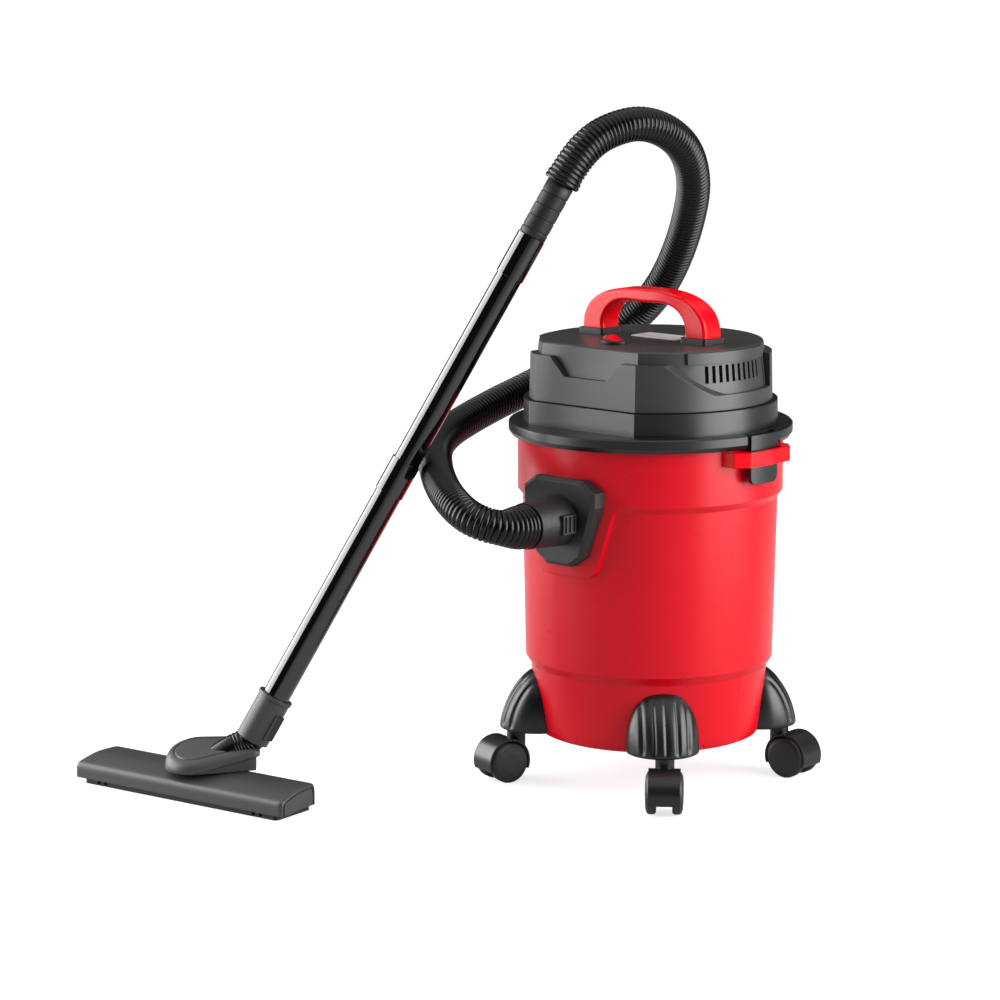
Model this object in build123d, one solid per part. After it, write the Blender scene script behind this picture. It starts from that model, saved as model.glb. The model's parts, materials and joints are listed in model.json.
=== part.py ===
from build123d import *
import math
import os

# Small wet and dry shop vacuum: red drum on four castors, black lid and motor head,
# a ribbed hose, a two-part wand and a floor nozzle with a turning neck.
# Millimetres, +Z up. The hose inlet faces -Y, the two latches are at +X and -X.
# Everything is drawn with the drum's axis as Z. The written parts are moved so that the origin
# is on the floor at the middle of the footprint, which the hose isn't counted in.

# ---- frame: the footprint's middle, measured from the drum's axis ----
MIDDLE_X = -118.1
MIDDLE_Y = -119.9

# ---- drum ----
DRUM_BOTTOM = 45.0
DRUM_TOP = 324.0
FOOT_RADIUS = 101.5
STEP_LOW = 108.0
STEP_HIGH = 116.0
LOW_RADIUS = 107.6
BODY_RADIUS = 112.5
BODY_TOP_RADIUS = 115.5
BAND_LOW = 264.0
BAND_HIGH = 270.0
BAND_RADIUS = 120.0
WALL = 2.6

# ---- hose inlet ----
INLET_Z = 256.0
INLET_BORE = 14.0
PLATE_FRONT = 129.0
COUPLING_END = 171.0
HOSE_RADIUS = 15.5

# ---- lid and motor head ----
LID_RADIUS = 128.3
LID_LOW = 319.0
LID_HIGH = 331.5
CHORD_ANGLE = 32.0
PEDESTAL_RADIUS = 115.0
PEDESTAL_TOP = 352.0
HOUSING_RADIUS = 106.5
HOUSING_TOP = 405.0
HOUSING_TAPER = 6.0
SHROUD_RADIUS = 109.7
SHROUD_TOP = 395.0
SHROUD_LOW = 366.0
SHROUD_NOTCH = 377.0
SHROUD_REAR = 48.0
HEAD_WALL = 3.0
GLAND_DROP = 22.0
GLAND_X = -30.0

# ---- carrying handle ----
HANDLE_TOP = 450.0
HANDLE_HALF_OUT = 71.0
HANDLE_HALF_IN = 47.0
HANDLE_HALF_DEPTH = 12.3
COLLAR_HEIGHT = 5.5

# ---- latches ----
LATCH_HALF_WIDTH = 18.8
LATCH_IN = 127.4
LATCH_OUT = 131.0
LATCH_LOW = 287.0
LATCH_AXIS_X = 123.8
LATCH_AXIS_Z = 326.0
LOOP_LOW = 304.5
LOOP_HIGH = 317.5

# ---- castors ----
CASTOR_RING = 121.6
CASTOR_ANGLES = {"front_right": -43.7, "front_left": -133.7, "rear_right": 46.3, "rear_left": 136.3}
CASTOR_TRAILS = {"front_right": -52.0, "front_left": -106.0, "rear_right": 3.5, "rear_left": 128.0}
TRAIL = 15.5
WHEEL_RADIUS = 19.0
WHEEL_HALF = 4.2
WHEEL_OFFSET = 11.4
WHEEL_CROWN = 1.6
WHEEL_GAP = 0.7
AXLE_RADIUS = 3.0
HOOD_RADIUS = 21.6
HOOD_WIDTH = 28.4
HOOD_LOW = 11.5
WEB_WIDTH = 13.0
STEM_RADIUS = 5.4
FOOT_LOW = 48.0
FOOT_RISE = 54.0
FOOT_REACH = 33.0

# ---- wand, neck and nozzle ----
NOZZLE_CENTRE = (-255.0, -329.0)
NOZZLE_YAW = 6.0
NECK_HEADING = 45.0
WAND_LEAN = 29.1
WAND_START = 51.0
WAND_START_Z = 52.0
ELBOW_Z = 38.5
ELBOW_BEND = 18.0
ELBOW_RADIUS = 12.2
COLLAR_LENGTH = 45.0
LOWER_TUBE_END = 287.0
UPPER_TUBE_END = 515.0
GRIP_END = 568.0
NOZZLE_LENGTH = 235.0
NOZZLE_DEPTH = 54.0
NOZZLE_TOP = 25.0

# Route of the hose from the coupling to the wand's grip, chosen by hand.
HOSE_ROUTE = [
    (0.0, -171.0, 256.0),
    (0.0, -190.0, 256.0),
    (-8.0, -209.0, 260.0),
    (-26.0, -217.0, 267.0),
    (-52.0, -209.0, 276.0),
    (-84.0, -188.0, 284.0),
    (-120.0, -157.0, 293.0),
    (-148.0, -127.0, 304.0),
    (-163.0, -94.0, 313.0),
    (-168.0, -60.0, 321.0),
    (-169.0, -24.0, 330.0),
    (-167.0, 13.0, 339.0),
    (-161.0, 48.0, 350.0),
    (-149.0, 82.0, 367.0),
    (-131.0, 109.0, 388.0),
    (-107.0, 122.0, 413.0),
    (-79.0, 115.0, 439.0),
    (-51.0, 101.0, 470.0),
    (-24.0, 83.0, 505.0),
    (1.0, 60.0, 541.0),
    (13.0, 33.0, 573.0),
    (14.0, 2.0, 592.0),
    (8.0, -28.0, 600.0),
    (-2.0, -53.0, 595.0),
    (-9.0, -74.0, 585.0),
    (-16.7, -90.7, 565.86),
    (-23.58, -97.58, 548.38),
]


def chord_sketch(radius):
    """Disc with a flat front chord, the plan of every layer of the head."""
    chord = radius * math.cos(math.radians(CHORD_ANGLE))
    return Circle(radius) & Pos(0, radius - chord, 0) * Rectangle(3 * radius, 2 * radius)


def chord_block(radius, low, high, taper=0.0):
    return extrude(Pos(0, 0, low) * chord_sketch(radius), high - low, taper=taper)


def ring(outer, inner, low, high):
    blank = Pos(0, 0, (low + high) / 2) * Cylinder(outer, high - low)
    return blank - Pos(0, 0, (low + high) / 2) * Cylinder(inner, high - low + 2)


def turned(points):
    """Solid of revolution about +Z from (radius, height) corners."""
    return revolve(Plane.XZ * make_face(Polyline(*points, close=True)), Axis.Z)


# ---------------------------------------------------------------- drum
def drum_outside():
    return turned([
        (0, DRUM_BOTTOM), (FOOT_RADIUS - 5, DRUM_BOTTOM), (FOOT_RADIUS - 1.4, DRUM_BOTTOM + 1.6),
        (FOOT_RADIUS, DRUM_BOTTOM + 6), (LOW_RADIUS, STEP_LOW), (LOW_RADIUS + 1, STEP_LOW + 2),
        (BODY_RADIUS, STEP_HIGH), (BODY_TOP_RADIUS, BAND_LOW), (BAND_RADIUS, BAND_HIGH),
        (BAND_RADIUS, DRUM_TOP), (0, DRUM_TOP),
    ])


def inlet_land():
    """Raised tongue below the upper band that carries the inlet plate."""
    half = [(27, 205), (33, 210), (48, 264), (54, 272)]
    corners = [(-x, z) for x, z in reversed(half)] + half
    block = extrude(Plane.XZ * Polygon(*corners, align=None), 140)
    return block & ring(BAND_RADIUS, BODY_RADIUS - 1.5, 200, 274)


def drum():
    body = drum_outside() + inlet_land()
    cavity = turned([
        (0, DRUM_BOTTOM + 3), (FOOT_RADIUS - 6, DRUM_BOTTOM + 3), (FOOT_RADIUS - WALL, DRUM_BOTTOM + 8),
        (LOW_RADIUS - WALL, STEP_LOW), (BODY_RADIUS - WALL, STEP_HIGH + 1),
        (BODY_TOP_RADIUS - WALL, BAND_LOW), (BAND_RADIUS - WALL, BAND_HIGH + 1),
        (BAND_RADIUS - WALL, DRUM_TOP + 1), (0, DRUM_TOP + 1),
    ])
    body -= cavity
    body -= Pos(0, -115, INLET_Z) * Rot(90, 0, 0) * Cylinder(INLET_BORE, 40)
    for angle in CASTOR_ANGLES.values():
        for side in (-21, 21):
            notch = Pos(FOOT_RADIUS + 1, 0, DRUM_BOTTOM + 1) * Box(10, 6, 9)
            body -= Rot(0, 0, angle + side) * notch & ring(FOOT_RADIUS + 9, FOOT_RADIUS - 1.3, 40, 60)
    return body


def inlet_plate():
    """Eight-sided shield with a bevelled front, bored for the hose."""
    half = [(14, 215), (27, 224), (41, 270), (41, 283), (27, 293)]
    corners = half + [(-x, z) for x, z in reversed(half)]
    back = extrude(Plane.XZ * Polygon(*corners, align=None), PLATE_FRONT)
    front_edges = back.faces().sort_by(Axis.Y)[0].edges()
    plate = chamfer(front_edges, 3.2)
    plate -= Pos(0, 0, 250) * Cylinder(BAND_RADIUS, 120)
    plate -= Pos(0, -130, INLET_Z) * Rot(90, 0, 0) * Cylinder(INLET_BORE, 60)
    return plate


def inlet_screws():
    """Four screws that hold the plate from inside the drum."""
    group = Part()
    upper = BAND_RADIUS - WALL
    lower = BODY_RADIUS - 0.5
    for x, z, wall in ((-25, 280, upper), (25, 280, upper), (-20, 226, lower), (20, 226, lower)):
        depth = math.sqrt(wall ** 2 - (abs(x) + 4) ** 2)
        group += Pos(x, -depth + 1.3, z) * Rot(90, 0, 0) * Cylinder(4, 2.4)
    return group


def hose_coupling():
    """Tapered collar between plate and hose, with a grip pad on its right side."""
    length = COUPLING_END - PLATE_FRONT
    body = Pos(0, -PLATE_FRONT - length / 2, INLET_Z) * Rot(90, 0, 0) * Cone(23, 20.6, length)
    body += Pos(22, -PLATE_FRONT - 11, INLET_Z) * Box(5, 17, 17)
    for step in range(3):
        body -= Pos(25.2, -PLATE_FRONT - 5.5 - 5.5 * step, INLET_Z) * Box(4, 2.6, 14)
    body -= Pos(0, -150, INLET_Z) * Rot(90, 0, 0) * Cylinder(INLET_BORE, 60)
    return body


def latch_loop(side):
    """Red loop on the drum that the latch tongue passes through."""
    corners = [(108, -40), (126, -39), (137, -28), (138.5, 0), (137, 28), (126, 39), (108, 40)]
    out = Polygon(*corners, align=None)
    slot = Polygon((100, -22.5), (133.2, -22.5), (133.2, 22.5), (100, 22.5), align=None)
    loop = extrude(Pos(0, 0, LOOP_LOW) * out, LOOP_HIGH - LOOP_LOW)
    loop = fillet(loop.edges().filter_by(Axis.Z).filter_by(lambda e: e.center().X > 120), 4)
    loop -= extrude(Pos(0, 0, LOOP_LOW - 1) * slot, LOOP_HIGH - LOOP_LOW + 2)
    loop -= Pos(0, 0, 310) * Cylinder(BAND_RADIUS, 60)
    return Rot(0, 0, 0 if side > 0 else 180) * loop


# ---------------------------------------------------------------- castors
def placed(angle, trail_angle, piece):
    """Put a castor piece, modelled with its stem on +Z and its trail along +X, under its foot."""
    x = CASTOR_RING * math.cos(math.radians(angle))
    y = CASTOR_RING * math.sin(math.radians(angle))
    return Pos(x, y, 0) * Rot(0, 0, trail_angle) * piece


def castor_foot(angle):
    """Quarter dome against the drum, with the socket for the castor stem."""
    steps = [math.radians(angle) for angle in range(0, 91, 10)]
    points = [(FOOT_REACH * math.cos(a), FOOT_RISE * math.sin(a)) for a in steps]
    arc = Spline(*points, tangents=[(0, 1), (-1, 0)])
    outline = make_face(arc + Line((0, FOOT_RISE), (0, 0)) + Line((0, 0), (FOOT_REACH, 0)))
    dome = Pos(CASTOR_RING - 18, 0, FOOT_LOW) * revolve(Plane.XZ * outline, Axis.Z)
    dome -= Rot(0, 0, -angle) * drum_outside()
    dome -= Pos(CASTOR_RING, 0, FOOT_LOW + 14) * Cylinder(STEM_RADIUS + 0.3, 32)
    return Rot(0, 0, angle) * dome


def castor_hood():
    """Hood over the twin wheels with its centre web, boss and stem."""
    axis = Pos(TRAIL, 0, WHEEL_RADIUS) * Rot(90, 0, 0)
    shell = axis * Cylinder(HOOD_RADIUS, HOOD_WIDTH) + Pos(0, 0, 37) * Cylinder(8.5, 20.4)
    shell -= axis * Cylinder(WHEEL_RADIUS + WHEEL_GAP, 60)
    web = axis * Cylinder(HOOD_RADIUS - 0.8, WEB_WIDTH)
    stem = Pos(0, 0, 61.5) * Cylinder(STEM_RADIUS, 31)
    hood = shell + web + stem
    hood -= Pos(TRAIL, 0, HOOD_LOW - 20) * Box(60, 60, 40)
    return hood - axis * Cylinder(AXLE_RADIUS, 60)


def castor_axle():
    length = 2 * (WHEEL_OFFSET + WHEEL_HALF - 1.6)
    return Pos(TRAIL, 0, WHEEL_RADIUS) * Rot(90, 0, 0) * Cylinder(AXLE_RADIUS, length)


def castor_wheel(side):
    """Wheel with a rounded tread, a crowned outer face and a blind bore for the axle."""
    inner = -WHEEL_HALF
    face = WHEEL_HALF
    rim = WHEEL_RADIUS - 1.6
    outline = [(0, inner), (rim, inner), (WHEEL_RADIUS, inner + 1.6)]
    outline += [(WHEEL_RADIUS, face - 1.6), (rim, face)]
    crown = [(14.5, face + 0.6 * WHEEL_CROWN), (9, face + 0.9 * WHEEL_CROWN), (0, face + WHEEL_CROWN)]
    wheel = turned(outline + crown)
    wheel -= Pos(0, 0, inner) * Cylinder(AXLE_RADIUS + 0.3, 2 * (2 * WHEEL_HALF - 1.2))
    return Pos(TRAIL, side * WHEEL_OFFSET, WHEEL_RADIUS) * Rot(-90 * side, 0, 0) * wheel


# ---------------------------------------------------------------- lid and head
def latch_axis(side, piece):
    return Rot(0, 0, 0 if side > 0 else 180) * piece


def latch_pin():
    return Pos(LATCH_AXIS_X, 0, LATCH_AXIS_Z) * Rot(90, 0, 0) * Cylinder(1.5, 47)


def lid():
    """Lid: outer rim, top plate, locating ring inside the drum and the pedestal under the head."""
    rim = turned([
        (LID_RADIUS, LID_LOW + 4), (LID_RADIUS, LID_HIGH - 1.5), (LID_RADIUS - 1.5, LID_HIGH),
        (60, LID_HIGH), (60, LID_HIGH - 3), (LID_RADIUS - 3.8, LID_HIGH - 3), (LID_RADIUS - 3.8, LID_LOW),
        (LID_RADIUS - 2.6, LID_LOW),
    ])
    locating = ring(116.4, 113.6, 300, LID_HIGH - 2)
    pedestal = chord_block(PEDESTAL_RADIUS, LID_HIGH - 1, PEDESTAL_TOP, 1.5)
    pedestal -= chord_block(PEDESTAL_RADIUS - HEAD_WALL, LID_HIGH - 2, PEDESTAL_TOP - 3, 1.5)
    pedestal -= Pos(0, 0, PEDESTAL_TOP) * Cylinder(62, 20)
    body = rim + locating + pedestal
    for side in (1, -1):
        body -= latch_axis(side, Pos(134.8, 0, 325) * Box(30, 39.2, 30) & ring(140, 119.8, 300, 340))
        body -= latch_axis(side, latch_pin())
    return body


def side_sector(outer, inner, low, high, start, end):
    """Part of a ring between two azimuths."""
    middle = math.radians((start + end) / 2)
    half = math.radians((end - start) / 2)
    reach = outer * 2
    wedge = Polygon((0, 0), (reach * math.cos(middle - half), reach * math.sin(middle - half)),
                    (reach * math.cos(middle + half), reach * math.sin(middle + half)), align=None)
    return ring(outer, inner, low, high) & extrude(Pos(0, 0, low) * wedge, high - low)


def motor_housing():
    """Tapered upper shell with vent slots under a raised cap on both sides."""
    body = chord_block(HOUSING_RADIUS, PEDESTAL_TOP, HOUSING_TOP, HOUSING_TAPER)
    body = fillet(body.faces().sort_by(Axis.Z)[-1].edges(), 2.5)
    for turn in (0, 180):
        cap_start = -33 if turn == 0 else -21
        cap_end = 21 if turn == 0 else 25
        body += Rot(0, 0, turn) * side_sector(104.6, 90, 393.5, HOUSING_TOP - 1.4, cap_start, cap_end)
        for step in range(10):
            spot = -22.5 + 4.1 * step if turn == 0 else 22.5 - 4.1 * step
            slot = Pos(104, 0, 384) * Box(14, 3.4, 15)
            body -= Rot(0, 0, turn + spot) * slot
        gap = 24 if turn == 0 else -24
        body -= Rot(0, 0, turn + gap) * Pos(106, 0, 388) * Box(10, 3.0, 44)
    body -= chord_block(HOUSING_RADIUS - 7, PEDESTAL_TOP - 1, HOUSING_TOP - 3.5, HOUSING_TAPER)
    body -= Pos(0, -53, HOUSING_TOP - 3) * Box(18.5, 12.5, 20)
    body -= Pos(GLAND_X, 92, HOUSING_TOP - GLAND_DROP) * Rot(90, 0, 0) * Cylinder(6.1, 40)
    return body


def housing_shroud():
    """Wrap-around panel outside the upper shell with a stepped top edge."""
    body = chord_block(SHROUD_RADIUS, PEDESTAL_TOP + 0.6, SHROUD_TOP, 1.4)
    body -= chord_block(HOUSING_RADIUS + 0.1, PEDESTAL_TOP, HOUSING_TOP, HOUSING_TAPER)
    above = [(-130, SHROUD_LOW), (-103, SHROUD_LOW), (-77, SHROUD_TOP - 1), (-41, SHROUD_TOP - 1),
             (-24, SHROUD_NOTCH), (24, SHROUD_NOTCH), (41, SHROUD_TOP - 1), (77, SHROUD_TOP - 1),
             (103, SHROUD_LOW), (130, SHROUD_LOW), (130, 420), (-130, 420)]
    body -= extrude(Plane.XZ * Polygon(*above, align=None), 140)
    body -= Pos(0, SHROUD_REAR / 2, SHROUD_LOW + 30) * Box(300, SHROUD_REAR, 60)
    return body - Pos(GLAND_X, 104, HOUSING_TOP - GLAND_DROP) * Rot(90, 0, 0) * Cylinder(9, 16)


def handle():
    """Carrying handle: flat-topped arch on two wide legs."""
    foot = HOUSING_TOP + COLLAR_HEIGHT
    outer = Spline((-HANDLE_HALF_OUT, foot), (-61, 436), (-36, 447.4), (0, HANDLE_TOP),
                   (36, 447.4), (61, 436), (HANDLE_HALF_OUT, foot))
    inner = Spline((HANDLE_HALF_IN, foot), (45.4, 424), (36.5, 433.8), (0, 437.8),
                   (-36.5, 433.8), (-45.4, 424), (-HANDLE_HALF_IN, foot))
    left = Line((-HANDLE_HALF_IN, foot), (-HANDLE_HALF_OUT, foot))
    right = Line((HANDLE_HALF_OUT, foot), (HANDLE_HALF_IN, foot))
    face = Plane.XZ * make_face(outer + right + inner + left)
    arch = Pos(0, HANDLE_HALF_DEPTH, 0) * extrude(face, 2 * HANDLE_HALF_DEPTH)
    long_edges = arch.edges().filter_by(lambda e: e.length > 80)
    return fillet(long_edges, 3.0)


def handle_collars():
    group = Part()
    for side in (-1, 1):
        middle = side * (HANDLE_HALF_OUT + HANDLE_HALF_IN) / 2
        block = Box(29, 30, COLLAR_HEIGHT)
        block = fillet(block.edges().filter_by(Axis.Z), 3)
        group += Pos(middle, 0, HOUSING_TOP + COLLAR_HEIGHT / 2) * block
    return group


def switch_bezel():
    body = extrude(Pos(0, -53, HOUSING_TOP) * Ellipse(13.5, 10.5), 3.4)
    body = fillet(body.faces().sort_by(Axis.Z)[-1].edges(), 1.6)
    return body - Pos(0, -53, HOUSING_TOP) * Box(18.5, 12.5, 20)


def power_switch():
    """Rocker button with a humped top, turning on an axis along Y."""
    corners = [(-8.4, 400), (8.6, 400), (8.6, 407.6), (3, 409.2), (-4.6, 412.6), (-7.2, 411.6)]
    body = Pos(0, -53 + 5.8, 0) * extrude(Plane.XZ * Polygon(*corners, align=None), 11.6)
    return body & Pos(0, -53, 402) * Rot(90, 0, 0) * Cylinder(11.2, 20)


def blank_plate():
    return Pos(2, 13, HOUSING_TOP + 0.4) * Box(50, 26, 0.8)


def cable_gland():
    """Gland for the mains lead in the rear of the upper shell."""
    body = Pos(GLAND_X, 92, HOUSING_TOP - GLAND_DROP) * Rot(90, 0, 0) * Cylinder(6, 20)
    body += Pos(GLAND_X, 106, HOUSING_TOP - GLAND_DROP) * Rot(-90, 0, 0) * Cone(8.5, 6, 10)
    return body - Pos(GLAND_X, 96, HOUSING_TOP - GLAND_DROP) * Rot(90, 0, 0) * Cylinder(3.4, 60)


def motor_stator():
    body = ring(40, 24, 356, 396)
    return body + ring(44, 38, 352.2, 357)


def fan_housing():
    """Closed can around the impeller with its eye below and outlets at the side."""
    can = ring(57, 54, 330, 352) + ring(57, 10, 349.5, 352) + ring(57, 17, 328.5, 331)
    for step in range(6):
        can -= Rot(0, 0, 30 + 60 * step) * Pos(56, 0, 341) * Box(10, 18, 9)
    return can


def impeller():
    body = ring(49, 5.0, 333.5, 335) + ring(12, 5.0, 335, 346)
    for step in range(8):
        body += Rot(0, 0, 45 * step) * Pos(29, 0, 340) * Rot(0, 0, 24) * Box(34, 1.6, 12)
    body &= ring(49, 5.0, 333.5, 346)
    return body


def motor_shaft():
    body = Pos(0, 0, 366) * Cylinder(5.0, 64)
    return body + Pos(0, 0, 376) * Cylinder(22, 34)


def float_cage():
    """Cage below the fan's eye that guides the float."""
    cage = ring(24, 21.5, 262, 328.3) + ring(24, 4, 260, 262.5) + ring(34, 21.5, 325, 328.3)
    for step in range(4):
        cage -= Rot(0, 0, 90 * step) * Pos(24, 0, 292) * Box(20, 16, 44)
    return cage


def float_ball():
    return Pos(0, 0, 281) * Sphere(17.5)


def filter_sleeve():
    """Pleated filter around the cage."""
    count = 36
    points = []
    for step in range(count):
        for extra, radius in ((0.0, 55.0), (0.5, 48.0)):
            angle = 2 * math.pi * (step + extra) / count
            points.append((radius * math.cos(angle), radius * math.sin(angle)))
    star = extrude(Pos(0, 0, 206) * Polygon(*points, align=None), 118)
    return star - Pos(0, 0, 262) * Cylinder(45, 140)


def filter_clamp():
    """Bottom cap with a knob that holds the filter on the cage."""
    cap = ring(58, 4, 201, 205.8) + Pos(0, 0, 200) * Cylinder(14, 6)
    for step in range(6):
        cap -= Rot(0, 0, 60 * step) * Pos(16, 0, 198) * Cylinder(3.2, 6)
    return cap + Pos(0, 0, 231) * Cylinder(3.6, 58)


def lid_gasket():
    return ring(119.6, 117.0, DRUM_TOP + 0.5, LID_HIGH - 3)


def head_screws():
    """Six screws that hold the filter flange and fan housing to the lid."""
    group = Part()
    for step in range(6):
        group += Rot(0, 0, 60 * step) * Pos(64, 0, 326.8) * Cylinder(3.4, 3.2)
    return group


def latch(side):
    """Hinged tab in the lid's rim whose tongue passes through the loop on the drum."""
    tab = ring(LATCH_OUT, LATCH_IN, LATCH_LOW, LID_HIGH - 0.4)
    outline = RectangleRounded(2 * LATCH_HALF_WIDTH, 60, 7)
    window = extrude(Plane.YZ * Pos(0, LATCH_LOW + 30) * outline, 140)
    tab &= window
    barrel = Pos(LATCH_AXIS_X, 0, LATCH_AXIS_Z) * Rot(90, 0, 0) * Cylinder(3.4, 30)
    arm = Pos(126.2, 0, LATCH_AXIS_Z) * Box(4.8, 30, 6.4)
    tab += barrel + arm
    tab -= Pos(LATCH_AXIS_X, 0, LATCH_AXIS_Z) * Rot(90, 0, 0) * Cylinder(1.8, 60)
    return latch_axis(side, tab)


def latch_pins():
    return latch_axis(1, latch_pin()) + latch_axis(-1, latch_pin())


# ---------------------------------------------------------------- wand and nozzle
def neck_frame(along, height):
    """Point in the vertical plane of the neck, measured from the nozzle's centre."""
    heading = math.radians(NECK_HEADING)
    x = NOZZLE_CENTRE[0] + along * math.cos(heading)
    y = NOZZLE_CENTRE[1] + along * math.sin(heading)
    return Vector(x, y, height)


def wand_direction():
    lean = math.radians(WAND_LEAN)
    heading = math.radians(NECK_HEADING)
    return Vector(math.sin(lean) * math.cos(heading), math.sin(lean) * math.sin(heading), math.cos(lean))


def wand_plane(distance):
    start = neck_frame(WAND_START, WAND_START_Z)
    return Plane(origin=start + wand_direction() * distance, z_dir=wand_direction(), x_dir=(1, -1, 0))


def wand_tube(outer, inner, start, end):
    plane = wand_plane(start)
    return extrude(plane * (Circle(outer) - Circle(inner)), end - start)


def lower_tube():
    socket = LOWER_TUBE_END - 30
    body = wand_tube(12.4, 11.2, 20, socket) + wand_tube(13.4, 12.0, socket, LOWER_TUBE_END)
    return body + wand_tube(13.4, 11.2, socket - 2, socket)


def upper_tube():
    socket = UPPER_TUBE_END - 38
    body = wand_tube(11.9, 10.7, LOWER_TUBE_END - 28, socket) + wand_tube(12.9, 11.5, socket, UPPER_TUBE_END)
    return body + wand_tube(12.9, 10.7, socket - 2, socket)


def wand_grip():
    body = wand_tube(12.6, 9.4, UPPER_TUBE_END, GRIP_END)
    body += wand_tube(11.4, 9.4, UPPER_TUBE_END - 34, UPPER_TUBE_END)
    for step in range(4):
        body += wand_tube(13.2, 12.0, UPPER_TUBE_END + 6 + 12 * step, UPPER_TUBE_END + 9 + 12 * step)
    return body


def nozzle_collar():
    body = wand_tube(15.2, 12.5, 0, COLLAR_LENGTH - 3)
    return body + wand_tube(16.2, 12.5, COLLAR_LENGTH - 3, COLLAR_LENGTH)


def collar_clip():
    """Spring clip on the side of the collar that locks the tube."""
    plane = wand_plane(8)
    sketch = Pos(11.4, 11.4) * Rot(0, 0, 45) * Rectangle(3.4, 9)
    return extrude(plane * sketch, 24) - wand_tube(15.25, 0.1, 0, COLLAR_LENGTH)


def neck_bellows():
    """Ribbed elbow between the neck and the collar, drawn plain over its ribs."""
    drop = (WAND_START_Z - ELBOW_Z) * math.tan(math.radians(WAND_LEAN))
    corner = neck_frame(WAND_START - drop, ELBOW_Z)
    end = neck_frame(WAND_START, WAND_START_Z)
    path = FilletPolyline(neck_frame(10, ELBOW_Z), corner, end, radius=ELBOW_BEND)
    start = Plane(origin=path @ 0, z_dir=path % 0)
    return sweep(start * Circle(ELBOW_RADIUS), path=path)


def nozzle_neck():
    """Teardrop cover that turns on the nozzle about a vertical axis."""
    disc = Circle(27.5)
    tail = Pos(57, 0) * Rectangle(2, 30)
    plan = make_hull(disc.edges() + tail.edges())
    cover = extrude(plan, 11)
    cover = fillet(cover.faces().sort_by(Axis.Z)[-1].edges(), 3.5)
    plateau = make_hull(Circle(19).edges() + (Pos(54, 0) * Rectangle(2, 26)).edges())
    upper = extrude(Pos(0, 0, 10) * plateau, 5)
    upper = fillet(upper.faces().sort_by(Axis.Z)[-1].edges(), 1.5)
    saddle = Pos(46, 0, 14) * Box(22, 30, 18)
    body = cover + upper + saddle
    body += Pos(0, 0, -6.5) * Cylinder(15, 14)
    body -= Pos(0, 0, -8) * Cylinder(11.5, 24)
    heading = Rot(0, 0, NECK_HEADING)
    placed_body = Pos(NOZZLE_CENTRE[0], NOZZLE_CENTRE[1], NOZZLE_TOP + 0.6) * heading * body
    return placed_body - neck_bellows() - wand_tube(15.5, 0.1, -2, 60)


def nozzle_place(piece):
    return Pos(NOZZLE_CENTRE[0], NOZZLE_CENTRE[1], 0) * Rot(0, 0, NOZZLE_YAW) * piece


def nozzle_body():
    """Long moulded shell, low at the front and rounded up to a flat top."""
    half = NOZZLE_DEPTH / 2
    front = Line((-half, 5), (-half, 14))
    rise = Spline((-half, 14), (-half + 5, 19.5), (-half + 18, 24.2), (-4, NOZZLE_TOP))
    top = Line((-4, NOZZLE_TOP), (half - 7, NOZZLE_TOP))
    corner = Spline((half - 7, NOZZLE_TOP), (half - 2, 22.5), (half, 17))
    back = Line((half, 17), (half, 5))
    base = Line((half, 5), (-half, 5))
    face = Plane.YZ * make_face(front + rise + top + corner + back + base)
    body = Pos(-NOZZLE_LENGTH / 2, 0, 0) * extrude(face, NOZZLE_LENGTH)
    body -= Pos(0, 0, 9) * Box(NOZZLE_LENGTH - 12, NOZZLE_DEPTH - 12, 20)
    body -= Pos(0, 0, 20) * Cylinder(15.4, 20)
    return nozzle_place(body)


def nozzle_sole():
    """Sole frame around the suction mouth, with small notches along its edge."""
    plate = extrude(RectangleRounded(NOZZLE_LENGTH - 9, NOZZLE_DEPTH - 6, 4), 5)
    plate -= Pos(0, 0, 2) * Box(NOZZLE_LENGTH - 44, 26, 10)
    for x in (-95, -87, 87, 95):
        plate -= Pos(x, -NOZZLE_DEPTH / 2 + 3, 3.2) * Box(3.4, 4, 4)
    return nozzle_place(plate)


def brush_strips():
    group = Part()
    for y in (-14.8, 14.8):
        group += Pos(0, y, 8.2) * Box(NOZZLE_LENGTH - 50, 2.6, 6)
    return nozzle_place(group)


# ---------------------------------------------------------------- hose
def hose():
    """Plain tube along the route: straight runs joined by tangent arcs."""
    points = [Vector(*p) for p in HOSE_ROUTE]
    radii = []
    for before, here, after in zip(points, points[1:], points[2:]):
        turn = (here - before).get_angle(after - here)
        shorter = min((here - before).length, (after - here).length)
        radii.append(0.45 * shorter / math.tan(math.radians(turn) / 2))
    print("hose radii", [round(r) for r in radii])
    path = FilletPolyline(*points, radius=radii)
    start = Plane(origin=points[0], z_dir=points[1] - points[0])
    body = sweep(start * Circle(HOSE_RADIUS), path=path)
    section = math.pi * HOSE_RADIUS ** 2
    ratio = body.volume / (section * path.length)
    print("hose length", round(path.length, 1), "volume ratio", round(ratio, 4))
    return body


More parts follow.
